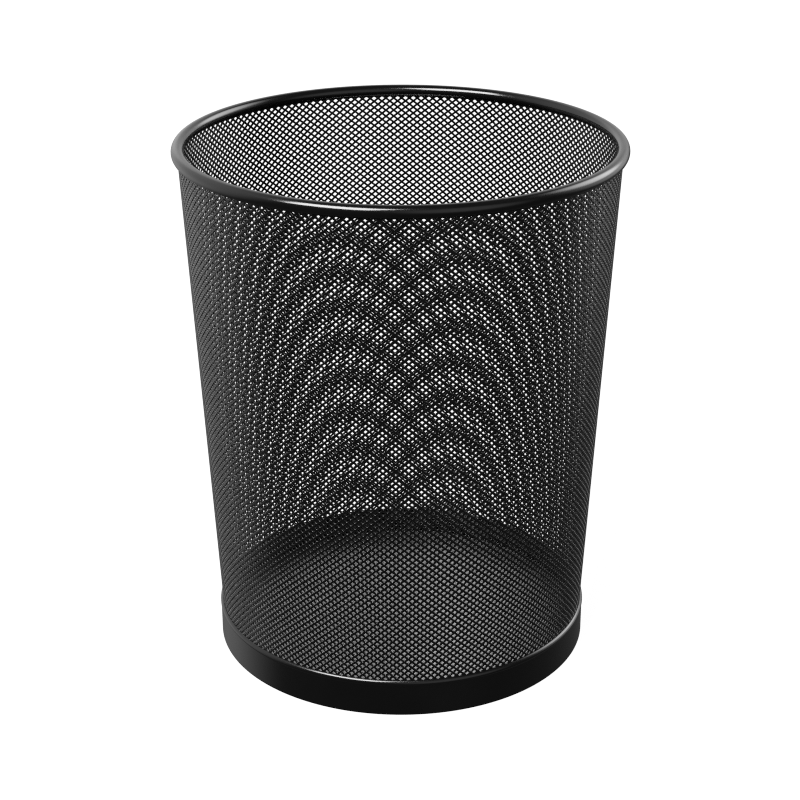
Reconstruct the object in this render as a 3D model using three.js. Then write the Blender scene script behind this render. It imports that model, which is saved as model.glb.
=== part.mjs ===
// Round wastebasket with a tapered wall of expanded steel mesh, a rolled
// tubular rim and a sheet-steel base. Millimetres, +Z up, with the origin at
// the centre of the ring that stands on the floor. Every piece is a section
// revolved about Z. Neighbours that the real basket crimps or spot-welds
// together stay apart by CLEARANCE here.

import * as THREE from "three";

const RADIAL_SEGMENTS = 72;
const CLEARANCE = 0.35;

// Wall: a cone of expanded sheet, wider at the top
const WALL_OUTER_RADIUS_AT_FLOOR = 124.9;
const WALL_OUTER_RADIUS_AT_RIM = 143.8;
const WALL_THICKNESS = 1.0;
const WALL_REACH_INTO_RIM = 1.0;

// Rim: a round tube with a slot underneath that the wall's edge enters
const RIM_OUTER_RADIUS = 147.6;
const RIM_CENTRE_HEIGHT = 349.4;
const RIM_TUBE_RADIUS = 4.25;
const RIM_SHEET = 0.8;
const RIM_OUTER_STEPS = 14;
const RIM_INNER_STEPS = 10;

// Base band: an upright strip with a lip rolled inwards above and a foot
// turned in below
const BAND_OUTER_RADIUS = 127.65;
const BAND_HEIGHT = 25.7;
const BAND_SHEET = 0.7;
const LIP_STANDS_PROUD = 0.35;
const LIP_ROLL_RADIUS = 1.3;
const LIP_STRAIGHT = 1.0;
const LIP_STEP_HEIGHT = 1.0;
const LIP_ROLL_STEPS = 4;
const FOOT_CORNER_RADIUS = 0.8;
const FOOT_CORNER_STEPS = 3;
const FOOT_INNER_RADIUS = 119.0;

// Floor pan: a raised disc whose turned-down skirt stands on the band's foot
const FLOOR_HEIGHT = 8.3;
const FLOOR_SHEET = 0.7;
const FLOOR_CORNER_RADIUS = 2.2;
const FLOOR_CORNER_STEPS = 4;

const POWDER_COAT_BLACK = 0x141414;
const SATIN_SILVER_GREY = 0xbcbcbc;

const WALL_TAPER =
  (WALL_OUTER_RADIUS_AT_RIM - WALL_OUTER_RADIUS_AT_FLOOR) / RIM_CENTRE_HEIGHT;
const WALL_FOOT_HEIGHT = BAND_SHEET + CLEARANCE;

function wallOuterRadius(height) {
  return WALL_OUTER_RADIUS_AT_FLOOR + WALL_TAPER * height;
}

function wallInnerRadius(height) {
  return wallOuterRadius(height) - WALL_THICKNESS;
}

function point(radius, height) {
  return new THREE.Vector2(radius, height);
}

// Points of an arc in the section plane, both ends included. Angles are in
// degrees, with 0 pointing away from the axis and 90 pointing up.
function arc(centreRadius, centreHeight, radius, fromDegrees, toDegrees, steps) {
  const points = [];
  for (let i = 0; i <= steps; i += 1) {
    const degrees = THREE.MathUtils.lerp(fromDegrees, toDegrees, i / steps);
    const angle = THREE.MathUtils.degToRad(degrees);
    points.push(
      point(
        centreRadius + radius * Math.cos(angle),
        centreHeight + radius * Math.sin(angle),
      ),
    );
  }
  return points;
}

function blackSteel(roughness) {
  return new THREE.MeshStandardMaterial({
    color: POWDER_COAT_BLACK,
    roughness,
    metalness: 0.0,
  });
}

function satinSilverSteel() {
  return new THREE.MeshStandardMaterial({
    color: SATIN_SILVER_GREY,
    roughness: 0.35,
    metalness: 1.0,
  });
}

// A section walked anticlockwise, with the axis on its left, gives faces that
// point out of the solid.
function revolve(name, section, material) {
  const geometry = new THREE.LatheGeometry(section, RADIAL_SEGMENTS);
  geometry.rotateX(Math.PI / 2);
  const mesh = new THREE.Mesh(geometry, material);
  mesh.name = name;
  return mesh;
}

function closed(points) {
  return [...points, points[0].clone()];
}

// The expanded sheet stands here as a plain conical shell of the same outer
// shape and thickness.
function meshWall() {
  const top = RIM_CENTRE_HEIGHT + WALL_REACH_INTO_RIM;
  const section = closed([
    point(wallInnerRadius(WALL_FOOT_HEIGHT), WALL_FOOT_HEIGHT),
    point(wallOuterRadius(WALL_FOOT_HEIGHT), WALL_FOOT_HEIGHT),
    point(wallOuterRadius(top), top),
    point(wallInnerRadius(top), top),
  ]);
  return revolve("mesh_wall", section, blackSteel(0.5));
}

function rimTube() {
  const centreRadius = RIM_OUTER_RADIUS - RIM_TUBE_RADIUS;
  const inside = RIM_TUBE_RADIUS - RIM_SHEET;
  const halfSlot = WALL_THICKNESS / 2 + CLEARANCE;
  const slotTilt = THREE.MathUtils.radToDeg(Math.atan(WALL_TAPER));
  const slot = -90 - slotTilt;
  const outerGap = THREE.MathUtils.radToDeg(Math.asin(halfSlot / RIM_TUBE_RADIUS));
  const innerGap = THREE.MathUtils.radToDeg(Math.asin(halfSlot / inside));
  const section = closed([
    ...arc(
      centreRadius,
      RIM_CENTRE_HEIGHT,
      RIM_TUBE_RADIUS,
      slot + outerGap,
      slot + 360 - outerGap,
      RIM_OUTER_STEPS,
    ),
    ...arc(
      centreRadius,
      RIM_CENTRE_HEIGHT,
      inside,
      slot + 360 - innerGap,
      slot + innerGap,
      RIM_INNER_STEPS,
    ),
  ]);
  return revolve("rim_tube", section, blackSteel(0.35));
}

// The lip steps out a little from the band below it, then rolls inwards
// through a quarter turn until it almost meets the wall. Here and in the pan,
// the inside of a bend takes one step fewer than its outside.
function baseBand() {
  const outer = BAND_OUTER_RADIUS;
  const inner = outer - BAND_SHEET;
  const roll = outer + LIP_STANDS_PROUD - LIP_ROLL_RADIUS;
  const crown = BAND_HEIGHT - LIP_ROLL_RADIUS;
  const stepTop = crown - LIP_STRAIGHT;
  const stepFoot = stepTop - LIP_STEP_HEIGHT;
  const corner = outer - FOOT_CORNER_RADIUS;
  const section = closed([
    point(FOOT_INNER_RADIUS, 0),
    ...arc(
      corner,
      FOOT_CORNER_RADIUS,
      FOOT_CORNER_RADIUS,
      -90,
      0,
      FOOT_CORNER_STEPS,
    ),
    point(outer, stepFoot),
    point(outer + LIP_STANDS_PROUD, stepTop),
    ...arc(roll, crown, LIP_ROLL_RADIUS, 0, 90, LIP_ROLL_STEPS),
    ...arc(roll, crown, LIP_ROLL_RADIUS - BAND_SHEET, 90, 0, LIP_ROLL_STEPS - 1),
    point(inner + LIP_STANDS_PROUD, stepTop),
    point(inner, stepFoot),
    ...arc(
      corner,
      FOOT_CORNER_RADIUS,
      FOOT_CORNER_RADIUS - BAND_SHEET,
      0,
      -90,
      FOOT_CORNER_STEPS - 1,
    ),
    point(FOOT_INNER_RADIUS, BAND_SHEET),
  ]);
  return revolve("base_band", section, blackSteel(0.4));
}

function floorPan() {
  const underside = FLOOR_HEIGHT - FLOOR_SHEET;
  const cornerHeight = FLOOR_HEIGHT - FLOOR_CORNER_RADIUS;
  const skirtTop = wallInnerRadius(cornerHeight) - CLEARANCE;
  const skirtFoot = wallInnerRadius(WALL_FOOT_HEIGHT) - CLEARANCE;
  const corner = skirtTop - FLOOR_CORNER_RADIUS;
  const innerCornerRadius = FLOOR_CORNER_RADIUS - FLOOR_SHEET;
  const section = [
    point(0, underside),
    ...arc(corner, cornerHeight, innerCornerRadius, 90, 0, FLOOR_CORNER_STEPS - 1),
    point(skirtFoot - FLOOR_SHEET, WALL_FOOT_HEIGHT),
    point(skirtFoot, WALL_FOOT_HEIGHT),
    ...arc(corner, cornerHeight, FLOOR_CORNER_RADIUS, 0, 90, FLOOR_CORNER_STEPS),
    point(0, FLOOR_HEIGHT),
  ];
  return revolve("floor_pan", section, satinSilverSteel());
}

const wastebasket = new THREE.Group();
wastebasket.add(meshWall(), rimTube(), baseBand(), floorPan());

export default wastebasket;
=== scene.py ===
# A round office wastebasket in black powder-coated steel: a tapered wall of
# expanded mesh, a rolled tubular rim, a base band with a rolled lip, and a
# raised floor pan in a satin silver-grey coat.
# Metres, +Z up. The front, which faces the camera, is towards -Y.
import math

import bpy
import numpy as np
from mathutils import Euler, Matrix, Vector


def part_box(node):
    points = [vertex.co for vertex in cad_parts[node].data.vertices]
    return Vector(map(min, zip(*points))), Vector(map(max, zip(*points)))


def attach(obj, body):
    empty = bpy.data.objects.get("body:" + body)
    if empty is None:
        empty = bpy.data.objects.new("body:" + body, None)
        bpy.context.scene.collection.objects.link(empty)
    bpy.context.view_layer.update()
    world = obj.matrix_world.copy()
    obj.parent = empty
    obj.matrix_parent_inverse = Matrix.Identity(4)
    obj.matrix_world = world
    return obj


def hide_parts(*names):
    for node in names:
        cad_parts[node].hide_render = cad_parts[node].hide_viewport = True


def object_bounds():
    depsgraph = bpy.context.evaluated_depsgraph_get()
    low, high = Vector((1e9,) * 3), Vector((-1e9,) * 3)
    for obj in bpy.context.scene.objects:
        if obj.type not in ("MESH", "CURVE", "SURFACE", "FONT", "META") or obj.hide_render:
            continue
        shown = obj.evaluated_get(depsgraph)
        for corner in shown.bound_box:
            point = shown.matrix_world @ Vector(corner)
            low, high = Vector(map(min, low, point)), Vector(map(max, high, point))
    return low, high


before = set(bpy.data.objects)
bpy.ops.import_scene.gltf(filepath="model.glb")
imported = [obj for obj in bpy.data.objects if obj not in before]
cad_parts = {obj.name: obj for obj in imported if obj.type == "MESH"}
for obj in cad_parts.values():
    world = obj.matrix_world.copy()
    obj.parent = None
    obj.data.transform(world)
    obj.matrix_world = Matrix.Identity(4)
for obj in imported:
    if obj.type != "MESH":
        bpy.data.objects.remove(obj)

cad_low, cad_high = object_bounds()

BODY = "root"
MM = 0.001

# Wall of expanded mesh: diamond cells in columns round the wall and rows up it.
# Columns count from the front, a little to its left, and rows from the floor.
_, WALL_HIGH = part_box("mesh_wall")
WALL_TAPER = 0.0541
SHEET_THICKNESS = 1.0 * MM
PANELS = 10
COLUMNS = 160
COLUMN_PHASE = 0.148
ROW_PHASE = 0.0234
ROWS_PER_METRE = 226.77
ROW_CROWDING = 3.61
FIRST_ROW = 1
LAST_ROW = 79

# An opening's sides and corners, as shares of the way from the cell's centre to
# the middle of its strands; the share of a strand that is flat; how far from the
# sheet's middle its shoulders end, as a share of the sheet's thickness; and how
# far the shading turns over the shoulders
SIDE_OPENING = 0.605
CORNER_OPENING = 0.59
STRAND_FLAT = 0.5
SHOULDER_DEPTH = 0.28
OUTER_SHOULDER_TURN = math.radians(55)
INNER_SHOULDER_TURN = math.radians(20)

# Rim: a tube rolled round the wall's top edge, with a slot underneath
_, RIM_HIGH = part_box("rim_tube")
RIM_TUBE_RADIUS = 4.25 * MM
RIM_SHEET = 0.8 * MM
RIM_SLOT_HALF_WIDTH = 0.85 * MM
RIM_OUTER_STEPS = 56
RIM_INNER_STEPS = 36
SHEET_END_STEPS = 8

# Base band, with its lip rolled inwards to the wall and its foot turned in
_, BAND_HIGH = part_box("base_band")
BAND_SHEET = 0.7 * MM
LIP_STANDS_PROUD = 0.35 * MM
LIP_ROLL_RADIUS = 2.6 * MM
LIP_ROLL_WIDTH = 1.65 * MM
LIP_STRAIGHT = 0.3 * MM
LIP_STEP_HEIGHT = 1.0 * MM
LIP_OUTER_STEPS = 14
LIP_INNER_STEPS = 10
LIP_BLEND_STEPS = 6
FOOT_CORNER_RADIUS = 0.8 * MM
FOOT_OUTER_STEPS = 10
FOOT_INNER_STEPS = 6
FOOT_WIDTH = 8.65 * MM

# Floor pan, with its skirt turned down
PAN_LOW, PAN_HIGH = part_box("floor_pan")
PAN_SHEET = 0.7 * MM
PAN_CORNER_RADIUS = 2.2 * MM
PAN_OUTER_STEPS = 10
PAN_INNER_STEPS = 8

# Every revolved piece: segments round it, and how its long straight runs divide
RING_SEGMENTS = 360
SUPPORT_REACH = 0.3 * MM
SUPPORT_SPACING = 4.0 * MM

# Paint: the linear base colour drifts between two tones
BLACK = (0.0010, 0.0010, 0.0010)
BLACK_PALER = (0.0020, 0.0020, 0.0020)
SILVER = (0.82, 0.82, 0.82)
SILVER_PALER = (0.90, 0.90, 0.90)
MESH_ROUGHNESS = 0.22
RIM_ROUGHNESS = 0.17
BAND_ROUGHNESS = 0.2
PAN_ROUGHNESS = 0.34
PAINT_IOR = 1.5
DRIFT_SCALE = 38.0
DRIFT_DETAIL = 3.0
DRIFT_ROUGHNESS = 0.55
SPECKLE_SCALE = 420.0
SPECKLE_DETAIL = 2.0
SPECKLE_SPREAD = 0.15
PEEL_SCALE = 900.0
PEEL_DETAIL = 1.0
PEEL_STRENGTH = 0.6
PEEL_HEIGHT = 0.01 * MM

# Studio: one softbox at the front left, with its power in watts per square metre,
# and round soft-edged cards of light far away. Each card has the azimuth and
# elevation of its middle and the radii between which it fades out, all in
# degrees, and its radiance.
KEY_AZIMUTH = -140
KEY_ELEVATION = 52
KEY_DISTANCE = 3.0
KEY_WIDTH = 2.0
KEY_HEIGHT = 1.6
KEY_POWER = 68.0
DIM_STUDIO = 0.08
CARDS = {
    "left": (-60, 13, 15, 59, 0.88),
    "low behind": (-14, -24, 5, 26, 0.1),
    "behind": (0, 19, 8, 38, 0.76),
    "right": (60, 27, 3, 27, 5.6),
    "right spill": (58, 12, 5, 42, 1.4),
    "front right": (150, 18, 10, 40, 0.5),
    "front right spill": (150, 0, 10, 42, 0.06),
}
FLOOR_SIDE = 12.0
FLOOR_GREY = (0.04, 0.04, 0.04, 1)
FLOOR_ROUGHNESS = 0.9
FLOOR_GLOW = 0.95
WHITE = (1, 1, 1, 1)

# Camera in front of the basket, tipped down from level, with a long lens. Its
# roll is in radians.
CAMERA_PLACE = (0.0, -1.2087, 0.6864)
CAMERA_TIP = math.radians(23.12)
CAMERA_ROLL = -0.0023
CAMERA_LENS = 86.71
CAMERA_SENSOR = 36.0
CAMERA_SHIFT = -0.00134
CAMERA_REACH = 30.0
PIXEL_FILTER = 1.15


# ---------------------------------------------------------------- sections

def arc(centre_radius, centre_height, radius, from_degrees, to_degrees, steps):
    """Points of an arc, with 0 degrees away from the axis and 90 up."""
    points = []
    for i in range(steps + 1):
        angle = math.radians(from_degrees + (to_degrees - from_degrees) * i / steps)
        out = centre_radius + radius * math.cos(angle)
        points.append((out, centre_height + radius * math.sin(angle)))
    return points


def with_supports(section, closed=True):
    """The section with extra points along its long straight runs, so that smooth
    shading keeps the flats flat."""
    reach = SUPPORT_REACH
    points = []
    count = len(section) if closed else len(section) - 1
    for i in range(count):
        start = np.array(section[i])
        end = np.array(section[(i + 1) % len(section)])
        length = float(np.linalg.norm(end - start))
        points.append(tuple(start))
        if length < 3 * reach:
            continue
        inner = length - 2 * reach
        steps = max(1, round(inner / SUPPORT_SPACING))
        for k in range(steps + 1):
            along = (reach + inner * k / steps) / length
            points.append(tuple(start + (end - start) * along))
    if not closed:
        points.append(tuple(section[-1]))
    return points


def revolve(name, section):
    """A closed solid of revolution. The section is walked anticlockwise, and it
    either closes on itself or starts and ends on the axis."""
    on_axis = section[0][0] == 0.0
    ring_points = section[1:-1] if on_axis else section
    angles = np.arange(RING_SEGMENTS) * 2 * math.pi / RING_SEGMENTS
    vertices = []
    for radius, height in ring_points:
        for angle in angles:
            vertices.append((radius * math.cos(angle), radius * math.sin(angle), height))
    rings = len(ring_points)
    faces = ring_faces(rings, closed=not on_axis)
    if on_axis:
        bottom = len(vertices)
        vertices.append((0.0, 0.0, section[0][1]))
        vertices.append((0.0, 0.0, section[-1][1]))
        faces += axis_faces(rings, bottom, bottom + 1)
    return new_piece(name, vertices, faces)


def ring_faces(rings, closed):
    """Quads from each ring of vertices to the next."""
    faces = []
    for ring in range(rings if closed else rings - 1):
        low = ring * RING_SEGMENTS
        high = ((ring + 1) % rings) * RING_SEGMENTS
        for i in range(RING_SEGMENTS):
            j = (i + 1) % RING_SEGMENTS
            faces.append((low + i, low + j, high + j, high + i))
    return faces


def axis_faces(rings, bottom, top):
    """Triangles from the first ring to the bottom point and the last to the top."""
    faces = []
    last = (rings - 1) * RING_SEGMENTS
    for i in range(RING_SEGMENTS):
        j = (i + 1) % RING_SEGMENTS
        faces.append((bottom, j, i))
        faces.append((top, last + i, last + j))
    return faces


def new_piece(name, vertices, faces):
    """A smooth-shaded mesh object in the scene."""
    mesh = bpy.data.meshes.new(name)
    mesh.from_pydata(vertices, [], faces)
    mesh.shade_smooth()
    piece = bpy.data.objects.new(name, mesh)
    bpy.context.scene.collection.objects.link(piece)
    return piece


# -------------------------------------------------------------------- wall

def wall_mid_radius(height):
    """Radius of the middle of the sheet."""
    outer_at_top = WALL_HIGH.x
    return outer_at_top - SHEET_THICKNESS / 2 - WALL_TAPER * (WALL_HIGH.z - height)


def row_height(row):
    """Height of a row of cells. The rows crowd together very slightly upwards: the
    row's number less ROW_PHASE is ROWS_PER_METRE times its height, plus
    ROW_CROWDING times its height squared."""
    rows_up = row - ROW_PHASE
    root = np.sqrt(ROWS_PER_METRE**2 + 4 * ROW_CROWDING * rows_up)
    return (root - ROWS_PER_METRE) / (2 * ROW_CROWDING)


def wall_frame(column, row):
    """Place on the middle of the sheet, and the way out of it, for every pair of
    a column and a row."""
    angle = (column - COLUMN_PHASE) * 2 * math.pi / COLUMNS
    height = row_height(row)
    radius = wall_mid_radius(height)
    lean = math.atan(WALL_TAPER)
    place = np.stack([radius * np.sin(angle), -radius * np.cos(angle), height], axis=1)
    out = np.stack(
        [
            math.cos(lean) * np.sin(angle),
            -math.cos(lean) * np.cos(angle),
            np.full_like(angle, -math.sin(lean)),
        ],
        axis=1,
    )
    return place, out


# The eight points round a diamond cell, in quarter cells: corner, side, corner...
ROUND_CELL = np.array(
    [(2, 0), (1, 1), (0, 2), (-1, 1), (-2, 0), (-1, -1), (0, -2), (1, -1)]
)
POINTS = len(ROUND_CELL)


def panel_cells(first_column, last_column):
    """Centres of the cells of a panel, in half columns and half rows. Both are
    even or both are odd, as in a draughtboard's squares of one colour."""
    cells = []
    for column in range(2 * first_column, 2 * last_column):
        for row in range(2 * FIRST_ROW, 2 * LAST_ROW + 1):
            if (column + row) % 2 == 0:
                cells.append((column, row))
    return np.array(cells)


def mesh_panel(name, first_column, last_column):
    """Part of the expanded sheet as a closed mesh. Each cell is an opening with
    half the width of the four strands round it."""
    cells = panel_cells(first_column, last_column)
    count = len(cells)
    ridge_keys = 2 * cells[:, None, :] + ROUND_CELL[None, :, :]
    keys, ridge = np.unique(ridge_keys.reshape(-1, 2), axis=0, return_inverse=True)
    ridge = ridge.reshape(count, POINTS)
    ridges = len(keys)

    ridge_place, ridge_out = wall_frame(keys[:, 0] / 4, keys[:, 1] / 4)
    half = SHEET_THICKNESS / 2
    outer_ridge = ridge_place + half * ridge_out
    inner_ridge = ridge_place - half * ridge_out

    opening = np.where(np.arange(POINTS) % 2 == 0, CORNER_OPENING, SIDE_OPENING)
    edge_place, edge_out = round_cells(cells, opening)
    flat_place, flat_out = round_cells(cells, opening + (1 - opening) * (1 - STRAND_FLAT))
    outer_flat = flat_place + half * flat_out
    centre_place, _ = wall_frame(cells[:, 0] / 2, cells[:, 1] / 2)
    inward = np.repeat(centre_place, POINTS, axis=0) - edge_place
    inward /= np.linalg.norm(inward, axis=1)[:, None]
    shoulder = SHOULDER_DEPTH * SHEET_THICKNESS
    outer_edge = edge_place + shoulder * edge_out
    inner_edge = edge_place - shoulder * edge_out

    vertices = np.concatenate([outer_ridge, inner_ridge, outer_flat, outer_edge, inner_edge])
    normals = np.concatenate(
        [
            ridge_out,
            -ridge_out,
            flat_out,
            turned(edge_out, inward, OUTER_SHOULDER_TURN),
            turned(-edge_out, inward, INNER_SHOULDER_TURN),
        ]
    )

    # Loops of vertices round each opening, from the outer ridge over the edge to
    # the inner one, and faces from each loop to the next
    flat = 2 * ridges + np.arange(count * POINTS).reshape(count, POINTS)
    outer = flat + count * POINTS
    inner = outer + count * POINTS
    loops = [ridge, flat, outer, inner, ridges + ridge]
    quads = []
    for near, far in zip(loops, loops[1:]):
        following = np.roll(near, -1, axis=1), np.roll(far, -1, axis=1)
        quads.append(np.stack([near, following[0], following[1], far], axis=2))
    quads = [q.reshape(-1, 4) for q in quads]
    quads.append(closing_quads(ridge, ridges))

    piece = new_piece(name, vertices, np.concatenate(quads))
    piece.data.normals_split_custom_set_from_vertices(normals)
    return piece


def round_cells(cells, reach):
    """Places on the middle of the sheet round every cell, and the way out of it.
    A reach of 0 is the cell's centre, and of 1 the middle of its strands."""
    keys = 2 * cells[:, None, :] + ROUND_CELL[None, :, :] * reach[None, :, None]
    keys = keys.reshape(-1, 2)
    return wall_frame(keys[:, 0] / 4, keys[:, 1] / 4)


def turned(out, inward, angle):
    """Normals tipped by an angle from the way out towards the cells' centres."""
    return math.cos(angle) * out + math.sin(angle) * inward


def closing_quads(ridge, ridges):
    """Faces between the outer and the inner ridge along the edge of the panel,
    where a strand's other half belongs to the next panel or isn't there."""
    starts = ridge.reshape(-1)
    ends = np.roll(ridge, -1, axis=1).reshape(-1)
    pairs = np.stack([np.minimum(starts, ends), np.maximum(starts, ends)], axis=1)
    _, which, uses = np.unique(pairs, axis=0, return_inverse=True, return_counts=True)
    alone = uses[which.reshape(-1)] == 1
    starts, ends = starts[alone], ends[alone]
    return np.stack([ends, starts, starts + ridges, ends + ridges], axis=1)


def make_wall(material):
    share = COLUMNS // PANELS
    for panel in range(PANELS):
        name = f"mesh_panel_{panel + 1}"
        piece = mesh_panel(name, panel * share, (panel + 1) * share)
        dress(piece, material, "mesh_wall")


# -------------------------------------------------------- rim, band and pan

def make_rim(material):
    centre = RIM_HIGH.x - RIM_TUBE_RADIUS
    height = RIM_HIGH.z - RIM_TUBE_RADIUS
    inside = RIM_TUBE_RADIUS - RIM_SHEET
    slot = -90 - math.degrees(math.atan(WALL_TAPER))
    middle = RIM_TUBE_RADIUS - RIM_SHEET / 2
    gap = math.degrees(math.asin((RIM_SLOT_HALF_WIDTH + RIM_SHEET / 2) / middle))
    start, end = slot + gap, slot + 360 - gap
    section = arc(centre, height, RIM_TUBE_RADIUS, start, end, RIM_OUTER_STEPS)
    section += sheet_end(centre, height, middle, slot - gap, 1)
    section += arc(centre, height, inside, end, start, RIM_INNER_STEPS)
    section += sheet_end(centre, height, middle, slot + gap, -1)
    piece = revolve("rim_tube_rolled", section)
    dress(piece, material, "rim_tube")


def sheet_end(centre, height, middle, degrees, side):
    """The rounded end of the rolled sheet, between its outer and its inner arc."""
    angle = math.radians(degrees)
    end_radius = centre + middle * math.cos(angle)
    end_height = height + middle * math.sin(angle)
    start = degrees if side > 0 else degrees + 180
    points = arc(end_radius, end_height, RIM_SHEET / 2, start, start + 180, SHEET_END_STEPS)
    return points[1:-1]


def make_band(material):
    lip_outer = BAND_HIGH.x
    outer = lip_outer - LIP_STANDS_PROUD
    inner = outer - BAND_SHEET
    roll = lip_outer - LIP_ROLL_RADIUS
    roll_end = math.degrees(math.acos(1 - LIP_ROLL_WIDTH / LIP_ROLL_RADIUS))
    crown = BAND_HIGH.z - LIP_ROLL_RADIUS * math.sin(math.radians(roll_end))
    step_top = crown - LIP_STRAIGHT
    step_foot = step_top - LIP_STEP_HEIGHT
    corner = outer - FOOT_CORNER_RADIUS
    foot = outer - FOOT_WIDTH
    bend, inner_bend = FOOT_CORNER_RADIUS, FOOT_CORNER_RADIUS - BAND_SHEET
    section = [(foot, 0.0)]
    section += arc(corner, bend, bend, -90, 0, FOOT_OUTER_STEPS)
    section += blend_out(outer, step_foot, lip_outer, step_top)
    section += arc(roll, crown, LIP_ROLL_RADIUS, 0, roll_end, LIP_OUTER_STEPS)
    section += arc(roll, crown, LIP_ROLL_RADIUS - BAND_SHEET, roll_end, 0, LIP_INNER_STEPS)
    section += blend_out(lip_outer - BAND_SHEET, step_top, inner, step_foot)
    section += arc(corner, bend, inner_bend, 0, -90, FOOT_INNER_STEPS)
    section += [(foot, BAND_SHEET)]
    piece = revolve("base_band_pressed", with_supports(section))
    dress(piece, material, "base_band")


def blend_out(radius_from, height_from, radius_to, height_to):
    """A gentle S from one upright run to the next."""
    points = []
    for i in range(LIP_BLEND_STEPS + 1):
        t = i / LIP_BLEND_STEPS
        ease = t * t * (3 - 2 * t)
        radius = radius_from + (radius_to - radius_from) * ease
        points.append((radius, height_from + (height_to - height_from) * t))
    return points


def make_pan(material):
    def wall_inner(height):
        return wall_mid_radius(height) - SHEET_THICKNESS / 2

    clearance = wall_inner(PAN_HIGH.z - PAN_CORNER_RADIUS) - PAN_HIGH.x
    underside = PAN_HIGH.z - PAN_SHEET
    corner_height = PAN_HIGH.z - PAN_CORNER_RADIUS
    skirt_top = PAN_HIGH.x
    skirt_foot = wall_inner(PAN_LOW.z) - clearance
    corner = skirt_top - PAN_CORNER_RADIUS
    inner_bend = PAN_CORNER_RADIUS - PAN_SHEET
    section = [(0.0, underside)]
    section += arc(corner, corner_height, inner_bend, 90, 0, PAN_INNER_STEPS)
    section += [(skirt_foot - PAN_SHEET, PAN_LOW.z), (skirt_foot, PAN_LOW.z)]
    section += arc(corner, corner_height, PAN_CORNER_RADIUS, 0, 90, PAN_OUTER_STEPS)
    section += [(0.0, PAN_HIGH.z)]
    piece = revolve("floor_pan_pressed", with_supports(section, closed=False))
    dress(piece, material, "floor_pan")


def dress(piece, material, cad_node):
    piece.data.materials.append(material)
    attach(piece, BODY)
    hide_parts(cad_node)


# --------------------------------------------------------------- materials

def add_node(tree, kind, **inputs):
    """A shader node with values set on its named inputs."""
    made = tree.nodes.new(kind)
    for name, value in inputs.items():
        made.inputs[name.replace("_", " ")].default_value = value
    return made


def noise(tree, coordinates, scale, detail):
    """A noise texture that stays fixed to the object."""
    made = add_node(tree, "ShaderNodeTexNoise", Scale=scale, Detail=detail)
    tree.links.new(coordinates, made.inputs["Vector"])
    return made


def spread(tree, factor, low, high):
    """The factor, from 0 to 1, spread over another range."""
    made = add_node(tree, "ShaderNodeMapRange", To_Min=low, To_Max=high)
    tree.links.new(factor, made.inputs["Value"])
    return made.outputs["Result"]


def powder_coat(name, tone, paler, roughness, metallic=0.0):
    """Semi-gloss powder coat. Its colour drifts a little over centimetres, its
    gloss is speckled over millimetres, and an orange-peel bump about a millimetre
    across breaks up the reflections."""
    material = bpy.data.materials.new(name)
    material.use_nodes = True
    tree = material.node_tree
    shader = tree.nodes["Principled BSDF"]
    shader.inputs["IOR"].default_value = PAINT_IOR
    shader.inputs["Metallic"].default_value = metallic
    coordinates = tree.nodes.new("ShaderNodeTexCoord").outputs["Object"]

    drift = noise(tree, coordinates, DRIFT_SCALE, DRIFT_DETAIL)
    drift.inputs["Roughness"].default_value = DRIFT_ROUGHNESS
    tint = tree.nodes.new("ShaderNodeMix")
    tint.data_type = "RGBA"
    tint.inputs["A"].default_value = (*tone, 1)
    tint.inputs["B"].default_value = (*paler, 1)
    tree.links.new(drift.outputs["Fac"], tint.inputs["Factor"])
    tree.links.new(tint.outputs["Result"], shader.inputs["Base Color"])

    speckle = noise(tree, coordinates, SPECKLE_SCALE, SPECKLE_DETAIL)
    smoothest = roughness * (1 - SPECKLE_SPREAD)
    roughest = roughness * (1 + SPECKLE_SPREAD)
    gloss = spread(tree, speckle.outputs["Fac"], smoothest, roughest)
    tree.links.new(gloss, shader.inputs["Roughness"])

    peel = noise(tree, coordinates, PEEL_SCALE, PEEL_DETAIL)
    bump = add_node(tree, "ShaderNodeBump", Strength=PEEL_STRENGTH, Distance=PEEL_HEIGHT)
    tree.links.new(peel.outputs["Fac"], bump.inputs["Height"])
    tree.links.new(bump.outputs["Normal"], shader.inputs["Normal"])
    return material


# ------------------------------------------------------- floor, light, camera

def direction(azimuth, elevation):
    """Unit vector. Azimuth 0 is behind the basket and 90 is to its right."""
    a, e = math.radians(azimuth), math.radians(elevation)
    return Vector((math.sin(a) * math.cos(e), math.cos(a) * math.cos(e), math.sin(e)))


def make_key_light():
    """A rectangular softbox that faces the middle of the basket."""
    lamp = bpy.data.lights.new("key", "AREA")
    lamp.shape = "RECTANGLE"
    lamp.size = KEY_WIDTH
    lamp.size_y = KEY_HEIGHT
    lamp.energy = KEY_POWER * KEY_WIDTH * KEY_HEIGHT
    towards = direction(KEY_AZIMUTH, KEY_ELEVATION)
    made = bpy.data.objects.new("key", lamp)
    made.location = Vector((0, 0, cad_high.z / 2)) + towards * KEY_DISTANCE
    made.rotation_mode = "QUATERNION"
    made.rotation_quaternion = towards.to_track_quat("Z", "Y")
    made.visible_camera = False
    bpy.context.scene.collection.objects.link(made)


def card_glow(tree, ray, azimuth, elevation, inner_degrees, outer_degrees, radiance):
    """A card's radiance in the direction of a ray, as a node output."""
    dot = tree.nodes.new("ShaderNodeVectorMath")
    dot.operation = "DOT_PRODUCT"
    tree.links.new(ray, dot.inputs[0])
    dot.inputs[1].default_value = direction(azimuth, elevation)
    edge = tree.nodes.new("ShaderNodeMapRange")
    edge.interpolation_type = "SMOOTHSTEP"
    edge.inputs["From Min"].default_value = math.cos(math.radians(outer_degrees))
    edge.inputs["From Max"].default_value = math.cos(math.radians(inner_degrees))
    edge.inputs["To Max"].default_value = radiance
    tree.links.new(dot.outputs["Value"], edge.inputs["Value"])
    return edge.outputs["Result"]


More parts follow.
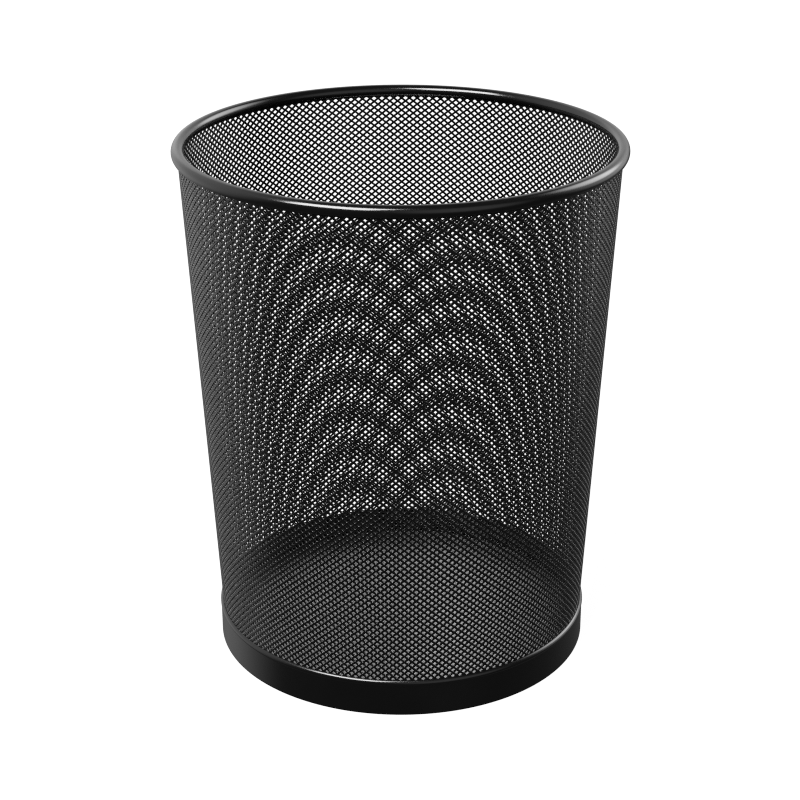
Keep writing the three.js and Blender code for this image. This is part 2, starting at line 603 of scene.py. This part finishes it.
def total(tree, outputs):
    """The sum of several node outputs."""
    result = outputs[0]
    for output in outputs[1:]:
        plus = tree.nodes.new("ShaderNodeMath")
        plus.operation = "ADD"
        tree.links.new(result, plus.inputs[0])
        tree.links.new(output, plus.inputs[1])
        result = plus.outputs[0]
    return result


def make_surroundings():
    """White to the camera, and to the basket a dim studio with pale cards."""
    world = bpy.data.worlds.new("studio")
    bpy.context.scene.world = world
    world.use_nodes = True
    tree = world.node_tree
    ray = tree.nodes.new("ShaderNodeTexCoord").outputs["Generated"]
    everywhere = tree.nodes.new("ShaderNodeValue").outputs[0]
    everywhere.default_value = DIM_STUDIO
    glows = [card_glow(tree, ray, *card) for card in CARDS.values()]
    studio = tree.nodes["Background"]
    studio.inputs["Color"].default_value = WHITE
    tree.links.new(total(tree, [everywhere, *glows]), studio.inputs["Strength"])
    white = tree.nodes.new("ShaderNodeBackground")
    white.inputs["Color"].default_value = WHITE
    seen = tree.nodes.new("ShaderNodeLightPath").outputs["Is Camera Ray"]
    choose = tree.nodes.new("ShaderNodeMixShader")
    tree.links.new(seen, choose.inputs[0])
    tree.links.new(studio.outputs[0], choose.inputs[1])
    tree.links.new(white.outputs[0], choose.inputs[2])
    tree.links.new(choose.outputs[0], tree.nodes["World Output"].inputs["Surface"])


def make_floor():
    """A pale floor that glows. The basket neither reflects it nor is lit by it."""
    reach = FLOOR_SIDE / 2
    corners = [(-reach, -reach, 0.0), (reach, -reach, 0.0), (reach, reach, 0.0), (-reach, reach, 0.0)]
    mesh = bpy.data.meshes.new("floor")
    mesh.from_pydata(corners, [], [(0, 1, 2, 3)])
    floor = bpy.data.objects.new("floor", mesh)
    bpy.context.scene.collection.objects.link(floor)
    material = bpy.data.materials.new("floor_white")
    material.use_nodes = True
    shader = material.node_tree.nodes["Principled BSDF"]
    shader.inputs["Base Color"].default_value = FLOOR_GREY
    shader.inputs["Roughness"].default_value = FLOOR_ROUGHNESS
    shader.inputs["Emission Color"].default_value = WHITE
    shader.inputs["Emission Strength"].default_value = FLOOR_GLOW
    mesh.materials.append(material)
    floor.visible_glossy = False
    floor.visible_diffuse = False
    floor.visible_shadow = False


def make_camera():
    """Looks down on the basket from the front."""
    data = bpy.data.cameras.new("camera")
    data.sensor_width = CAMERA_SENSOR
    data.lens = CAMERA_LENS
    data.shift_x = CAMERA_SHIFT
    data.clip_end = CAMERA_REACH
    camera = bpy.data.objects.new("camera", data)
    camera.location = CAMERA_PLACE
    tilt = Euler((math.radians(90) - CAMERA_TIP, 0, 0)).to_matrix()
    roll = Matrix.Rotation(CAMERA_ROLL, 3, "Z")
    camera.rotation_euler = (tilt @ roll).to_euler()
    bpy.context.scene.collection.objects.link(camera)
    bpy.context.scene.camera = camera


def set_picture():
    """Plain tone mapping. The strands are about two pixels wide, so the pixel
    filter is narrow, and nothing smooths them afterwards."""
    scene = bpy.context.scene
    scene.view_settings.view_transform = "Standard"
    scene.cycles.filter_width = PIXEL_FILTER
    scene.cycles.use_denoising = False


make_camera()
make_surroundings()
make_key_light()
make_floor()
make_wall(powder_coat("mesh_powder_coat", BLACK, BLACK_PALER, MESH_ROUGHNESS))
make_rim(powder_coat("rim_powder_coat", BLACK, BLACK_PALER, RIM_ROUGHNESS))
make_band(powder_coat("band_powder_coat", BLACK, BLACK_PALER, BAND_ROUGHNESS))
make_pan(powder_coat("pan_powder_coat", SILVER, SILVER_PALER, PAN_ROUGHNESS, metallic=1.0))
set_picture()
